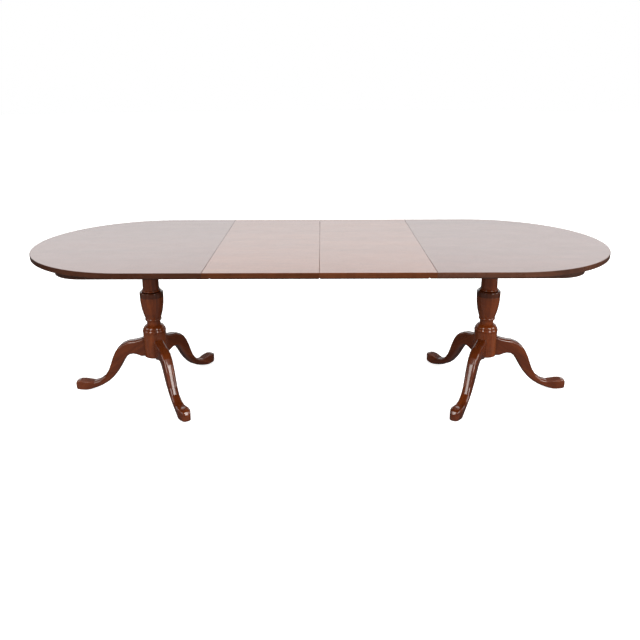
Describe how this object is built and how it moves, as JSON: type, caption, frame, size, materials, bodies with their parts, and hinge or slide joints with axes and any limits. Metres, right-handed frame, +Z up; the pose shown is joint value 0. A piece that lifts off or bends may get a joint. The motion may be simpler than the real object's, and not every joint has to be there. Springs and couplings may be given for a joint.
{
  "type": "double pedestal dining table",
  "caption": "Oval extension dining table on turned pedestals with cabriole legs, with leaves in, wooden slides and table locks under the seams.",
  "frame": {"origin": "on the floor, under the middle of the top", "axes": "+X along the table, +Y to its back, +Z up"},
  "size_m": [2.6084, 1.0668, 0.743],
  "materials": {
    "top_mahogany": "gloss lacquer",
    "apron_mahogany": "gloss lacquer",
    "pedestal_mahogany": "gloss lacquer",
    "slide_hardwood": "waxed, unstained",
    "zinc_steel": "zinc plated",
    "glide_plastic": "moulded"
  },
  "bodies": {
    "left_half": {"left_end_top": "top_mahogany", "left_apron_end": "apron_mahogany", "left_column": "pedestal_mahogany", "left_spider_plate": "zinc_steel", "left_spider_screws": "zinc_steel", "left_foot_glides": "glide_plastic", "left_pedestal_block": "slide_hardwood", "left_top_screws": "zinc_steel", "left_leg_outer": "pedestal_mahogany", "left_leg_front": "pedestal_mahogany", "left_leg_back": "pedestal_mahogany", "left_end_apron_front": "apron_mahogany", "left_end_apron_back": "apron_mahogany", "left_apron_corner_front": "apron_mahogany", "left_apron_corner_back": "apron_mahogany", "left_slide_rail_front": "slide_hardwood", "left_slide_rail_back": "slide_hardwood", "left_seam_pins": "slide_hardwood", "left_end_lock_plates": "zinc_steel"},
    "right_half": {"right_end_top": "top_mahogany", "right_apron_end": "apron_mahogany", "right_column": "pedestal_mahogany", "right_spider_plate": "zinc_steel", "right_spider_screws": "zinc_steel", "right_foot_glides": "glide_plastic", "right_pedestal_block": "slide_hardwood", "right_top_screws": "zinc_steel", "right_leg_outer": "pedestal_mahogany", "right_leg_front": "pedestal_mahogany", "right_leg_back": "pedestal_mahogany", "right_end_apron_front": "apron_mahogany", "right_end_apron_back": "apron_mahogany", "right_apron_corner_front": "apron_mahogany", "right_apron_corner_back": "apron_mahogany", "right_slide_rail_front": "slide_hardwood", "right_slide_rail_back": "slide_hardwood", "right_end_lock_keepers": "zinc_steel"},
    "left_leaf": {"left_leaf_top": "top_mahogany", "middle_seam_pins": "slide_hardwood", "left_leaf_lock_keepers": "zinc_steel", "left_leaf_lock_plates": "zinc_steel", "left_leaf_apron_front": "apron_mahogany", "left_leaf_apron_back": "apron_mahogany"},
    "right_leaf": {"right_leaf_top": "top_mahogany", "right_seam_pins": "slide_hardwood", "right_leaf_lock_keepers": "zinc_steel", "right_leaf_lock_plates": "zinc_steel", "right_leaf_apron_front": "apron_mahogany", "right_leaf_apron_back": "apron_mahogany"},
    "middle_slides": {"middle_slide_rail_front": "slide_hardwood", "middle_slide_rail_back": "slide_hardwood", "slide_stop_blocks": "slide_hardwood", "middle_slide_tie": "slide_hardwood"},
    "left_lock_front": {"left_seam_lock_lever_front": "zinc_steel"},
    "left_lock_back": {"left_seam_lock_lever_back": "zinc_steel"},
    "middle_lock_front": {"middle_seam_lock_lever_front": "zinc_steel"},
    "middle_lock_back": {"middle_seam_lock_lever_back": "zinc_steel"},
    "right_lock_front": {"right_seam_lock_lever_front": "zinc_steel"},
    "right_lock_back": {"right_seam_lock_lever_back": "zinc_steel"}
  },
  "joints": [
    {"name": "table_opening", "type": "slide", "parent": "left_half", "child": "right_half", "axis": [1, 0, 0], "range_m": [0, 0.12]},
    {"name": "middle_slides_follow", "type": "slide", "parent": "left_half", "child": "middle_slides", "axis": [1, 0, 0], "range_m": [0, 0.06]},
    {"name": "left_leaf_follow", "type": "slide", "parent": "left_half", "child": "left_leaf", "axis": [1, 0, 0], "range_m": [0, 0.0401]},
    {"name": "right_leaf_follow", "type": "slide", "parent": "left_half", "child": "right_leaf", "axis": [1, 0, 0], "range_m": [0, 0.0801]},
    {"name": "left_lock_front_swing", "type": "hinge", "parent": "left_half", "child": "left_lock_front", "pos_m": [-0.4772, -0.2858, 0.7165], "axis": [0, 0, 1], "range_deg": [0, 75]},
    {"name": "left_lock_back_swing", "type": "hinge", "parent": "left_half", "child": "left_lock_back", "pos_m": [-0.4772, 0.2858, 0.7165], "axis": [0, 0, 1], "range_deg": [0, 75]},
    {"name": "middle_lock_front_swing", "type": "hinge", "parent": "left_leaf", "child": "middle_lock_front", "pos_m": [-0.02, -0.2858, 0.7165], "axis": [0, 0, 1], "range_deg": [0, 75]},
    {"name": "middle_lock_back_swing", "type": "hinge", "parent": "left_leaf", "child": "middle_lock_back", "pos_m": [-0.02, 0.2858, 0.7165], "axis": [0, 0, 1], "range_deg": [0, 75]},
    {"name": "right_lock_front_swing", "type": "hinge", "parent": "right_leaf", "child": "right_lock_front", "pos_m": [0.4372, -0.2858, 0.7165], "axis": [0, 0, 1], "range_deg": [0, 75]},
    {"name": "right_lock_back_swing", "type": "hinge", "parent": "right_leaf", "child": "right_lock_back", "pos_m": [0.4372, 0.2858, 0.7165], "axis": [0, 0, 1], "range_deg": [0, 75]}
  ],
  "couplings": [
    {"joint": "middle_slides_follow", "follows": "table_opening", "ratio": 0.5},
    {"joint": "left_leaf_follow", "follows": "table_opening", "ratio": 0.33333},
    {"joint": "right_leaf_follow", "follows": "table_opening", "ratio": 0.66667}
  ]
}
